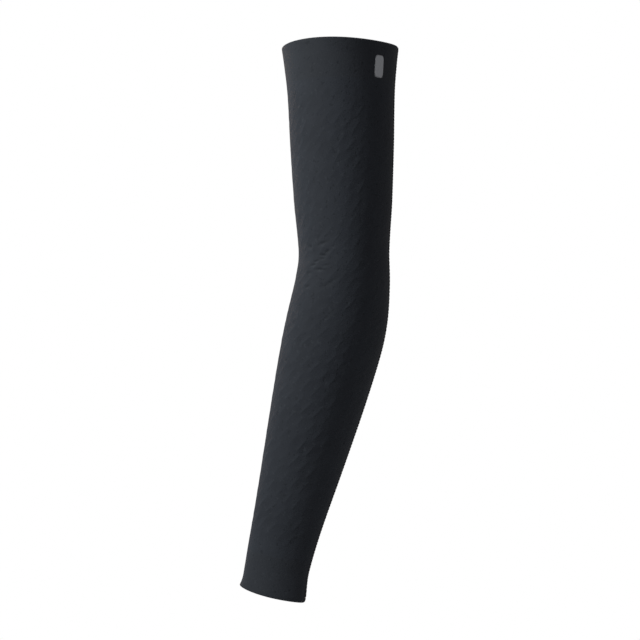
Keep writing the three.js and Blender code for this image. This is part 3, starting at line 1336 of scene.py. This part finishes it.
@dataclass
class ReflectiveTab:
    """Thin upright film with round corners, welded to the upper band and bent to it."""

    form: ArmForm
    finish: FilmFinish
    width: float = 9 * MM
    height: float = 17.5 * MM
    thickness: float = 0.5 * MM
    border: float = 0.09
    blur: float = 0.02
    ring_sizes: tuple[float, float] = (0.02, 0.88)
    edge_sizes: tuple[float, ...] = (0.91, 0.94, 0.965, 0.985, 1.0)
    round_from: float = 0.9
    round_over: float = 0.1
    underside: float = 0.02 * MM
    below_rim: float = 19.5 * MM
    turn: float = 133.0
    squareness: float = 5.0
    rings: int = 16
    columns: int = 128

    def build(self) -> bpy.types.Object:
        """Makes the film.

        Its outline is a super-ellipse: the cosine and the sine of the angle, each to two over the
        squareness. Rings of that shape go out from the middle over the top, which falls to the cloth
        at the edge, and come back below.

        Returns:
            The piece.
        """
        angle = -2 * np.pi * np.arange(self.columns) / self.columns
        power = 2 / self.squareness
        across = np.sign(np.cos(angle)) * np.abs(np.cos(angle)) ** power * self.width / 2
        down = np.sign(np.sin(angle)) * np.abs(np.sin(angle)) ** power * self.height / 2
        top = np.concatenate([np.linspace(*self.ring_sizes, self.rings), self.edge_sizes])
        size = np.concatenate([top, top[::-1]])
        near = np.clip((top - self.round_from) / self.round_over, 0, 1)
        over = self.thickness * np.sqrt(1 - 0.96 * near**2)
        out = np.concatenate([over, np.full(len(top), self.underside)])
        u = size[:, None] * across[None, :]
        v = size[:, None] * down[None, :]
        along = self.below_rim + v
        flat = along.ravel()
        turns, walked = self.form.round_at(flat)
        centre = np.array([np.interp(math.radians(self.turn), turns, walk) for walk in walked])
        turn = self.form.turn_after(flat, (centre + u.ravel())[:, None]).reshape(u.shape)
        points = self.form.point(along, turn, out[:, None])
        faces = capped_faces(len(size), self.columns)
        uv = np.stack([u, v], -1).reshape(-1, 2)[np.concatenate(faces)]
        inside = 1 - smooth_step(size, 1 - self.border, 1 - self.border + self.blur)
        inside = np.where(np.arange(len(size)) < len(top), inside, 0)
        relief = np.repeat(inside[:, None], self.columns, axis=1).ravel()
        shell = Shell(points.reshape(-1, 3), faces, {CLOTH_MAP: uv}, relief)
        return shell.make("tab_film", self.finish.make(), 40.0)

    def dress(self) -> bpy.types.Object:
        """Builds the piece and tells the frame what it stands for.

        Returns:
            The piece.
        """
        piece = self.build()
        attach(piece, "root")
        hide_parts("reflective_tab")
        return piece


# Studio


class Lamp(NamedTuple):
    """Soft rectangular light: its direction from the sleeve, its distance, its width and height in
    metres, its power in watts and its colour."""

    name: str
    direction: tuple[float, float, float]
    distance: float
    size: tuple[float, float]
    power: float
    colour: tuple[float, float, float]


LAMPS = (
    Lamp("key_light", (-1.02, -0.785, 0.9), 1.2, (0.2, 0.4), 22.0, (1.0, 1.0, 0.985)),
    Lamp("low_light", (-0.25, -0.6, -0.85), 1.0, (0.4, 0.3), 1.3, (1.0, 1.0, 1.0)),
    Lamp("edge_light", (-0.8, 1.0, 0.6), 1.8, (0.3, 1.0), 5.3, (1.0, 0.64, 0.42)),
    Lamp("rim_light", (0.78, 0.62, -0.22), 2.2, (0.5, 2.0), 5.6, (1.0, 0.97, 0.93)),
)


@dataclass
class Studio:
    """Pale floor, white surround, soft lights and the camera."""

    floor_finish: PlainFinish
    floor_height: float = -1.6
    floor_radius: float = 2.4
    floor_sides: int = 96
    floor_rings: int = 12
    surround_radius: float = 7.0
    ball_sides: int = 64
    ball_rings: int = 32
    middle: tuple[float, float, float] = (-0.01, 0.0, -0.22)
    world_colour: tuple[float, float, float, float] = (1.0, 0.97, 1.0, 1.0)
    world_strength: float = 0.258
    camera_place: tuple[float, float, float] = (-0.01584, -1.04, -0.2176)
    view_width: float = 0.512
    sensor: float = 36.0

    def floor(self) -> bpy.types.Object:
        """Pale round floor: rings of equal steps round one middle point.

        Returns:
            The floor.
        """
        sides = self.floor_sides
        turns = 2 * np.pi * np.arange(sides) / sides
        rings = self.floor_radius * np.linspace(0, 1, self.floor_rings + 1)[1:]
        x = rings[:, None] * np.cos(turns)
        y = rings[:, None] * np.sin(turns)
        rim = np.stack([x, y, np.full_like(x, self.floor_height)], -1).reshape(-1, 3)
        quads = ring_faces(self.floor_rings, sides)[:-sides].tolist()
        middle = [[len(rim), k, (k + 1) % sides] for k in range(sides)]
        points = np.concatenate([rim, [[0, 0, self.floor_height]]])
        return Shell(points, quads + middle).make("floor", self.floor_finish.make(), 30.0)

    def surround(self) -> bpy.types.Object:
        """White ball round the studio that only the camera sees: parallels and meridians.

        Returns:
            The ball.
        """
        sides = self.ball_sides
        polar = np.linspace(0, np.pi, self.ball_rings + 2)[1:-1]
        turns = 2 * np.pi * np.arange(sides) / sides
        ring = np.sin(polar)[:, None] * self.surround_radius
        z = np.repeat((np.cos(polar) * self.surround_radius)[:, None], sides, axis=1)
        rim = np.stack([ring * np.cos(turns), ring * np.sin(turns), z], -1).reshape(-1, 3)
        quads = ring_faces(self.ball_rings, sides)[:-sides, ::-1].tolist()
        top, bottom, last = len(rim), len(rim) + 1, len(rim) - sides
        ends = [[top, (k + 1) % sides, k] for k in range(sides)]
        ends += [[bottom, last + k, last + (k + 1) % sides] for k in range(sides)]
        poles = [[0, 0, self.surround_radius], [0, 0, -self.surround_radius]]
        graph = Graph("white_surround")
        glow = graph.node("ShaderNodeEmission", None, {"Color": (1.0, 1.0, 1.0, 1.0), "Strength": 1.0})
        graph.node("ShaderNodeOutputMaterial", None, {"Surface": glow.outputs[0]})
        shell = Shell(np.concatenate([rim, poles]), quads + ends)
        ball = shell.make("surround", graph.material, 30.0)
        for ray in ("diffuse", "glossy", "transmission", "volume_scatter", "shadow"):
            setattr(ball, f"visible_{ray}", False)
        return ball

    def light(self, lamp: Lamp) -> None:
        """Adds a soft light that faces the middle of the sleeve.

        Args:
            lamp: Its row of the table.
        """
        data = bpy.data.lights.new(lamp.name, "AREA")
        data.shape = "RECTANGLE"
        data.size, data.size_y = lamp.size
        data.energy = lamp.power
        data.color = lamp.colour
        holder = bpy.data.objects.new(lamp.name, data)
        way = Vector(lamp.direction).normalized()
        holder.location = Vector(self.middle) + way * lamp.distance
        holder.rotation_euler = way.to_track_quat("Z", "Y").to_euler()
        bpy.context.scene.collection.objects.link(holder)

    def camera(self) -> None:
        """Adds the camera, level and looking along +Y, with the frame's width at the sleeve's middle."""
        data = bpy.data.cameras.new("camera")
        data.sensor_width = self.sensor
        data.lens = self.sensor * -self.camera_place[1] / self.view_width
        data.clip_end = 50.0
        holder = bpy.data.objects.new("camera", data)
        holder.location = self.camera_place
        holder.rotation_euler = (math.pi / 2, 0.0, 0.0)
        bpy.context.scene.collection.objects.link(holder)
        bpy.context.scene.camera = holder

    def set_up(self) -> None:
        """Builds the studio: its floor, surround, lights, world and camera."""
        self.floor()
        self.surround()
        for lamp in LAMPS:
            self.light(lamp)
        world = bpy.data.worlds.new("soft_light")
        world.use_nodes = True
        background = world.node_tree.nodes["Background"]
        background.inputs["Color"].default_value = self.world_colour
        background.inputs["Strength"].default_value = self.world_strength
        bpy.context.scene.world = world
        bpy.context.scene.view_settings.view_transform = "Standard"
        self.camera()


def main() -> None:
    logging.basicConfig(level=logging.INFO, format="%(message)s")
    form = ArmForm()
    ribbed = KnitFinish("ribbed_knit", Knit.RIBBED, (0.0227, 0.0275, 0.0350), (0.0160, 0.0196, 0.0256))
    plain = KnitFinish("plain_knit", Knit.PLAIN, (0.0233, 0.0277, 0.0343), (0.0168, 0.0202, 0.0254))
    thread = ThreadFinish("seam_thread", (0.027, 0.029, 0.033), (0.016, 0.018, 0.021))
    film = FilmFinish("reflective_film", (0.31, 0.33, 0.35), (0.38, 0.40, 0.42), (0.18, 0.19, 0.20))
    body = SleeveBody(form, ribbed).dress()
    upper = Band(form, plain, End.UPPER, 30 * MM).dress()
    wrist = Band(form, plain, End.WRIST, 32 * MM).dress()
    seam = BackSeam(form, thread).dress()
    tab = ReflectiveTab(form, film).dress()
    Studio(PlainFinish("pale_floor", (0.86, 0.86, 0.85))).set_up()


if __name__ == "__main__":
    main()
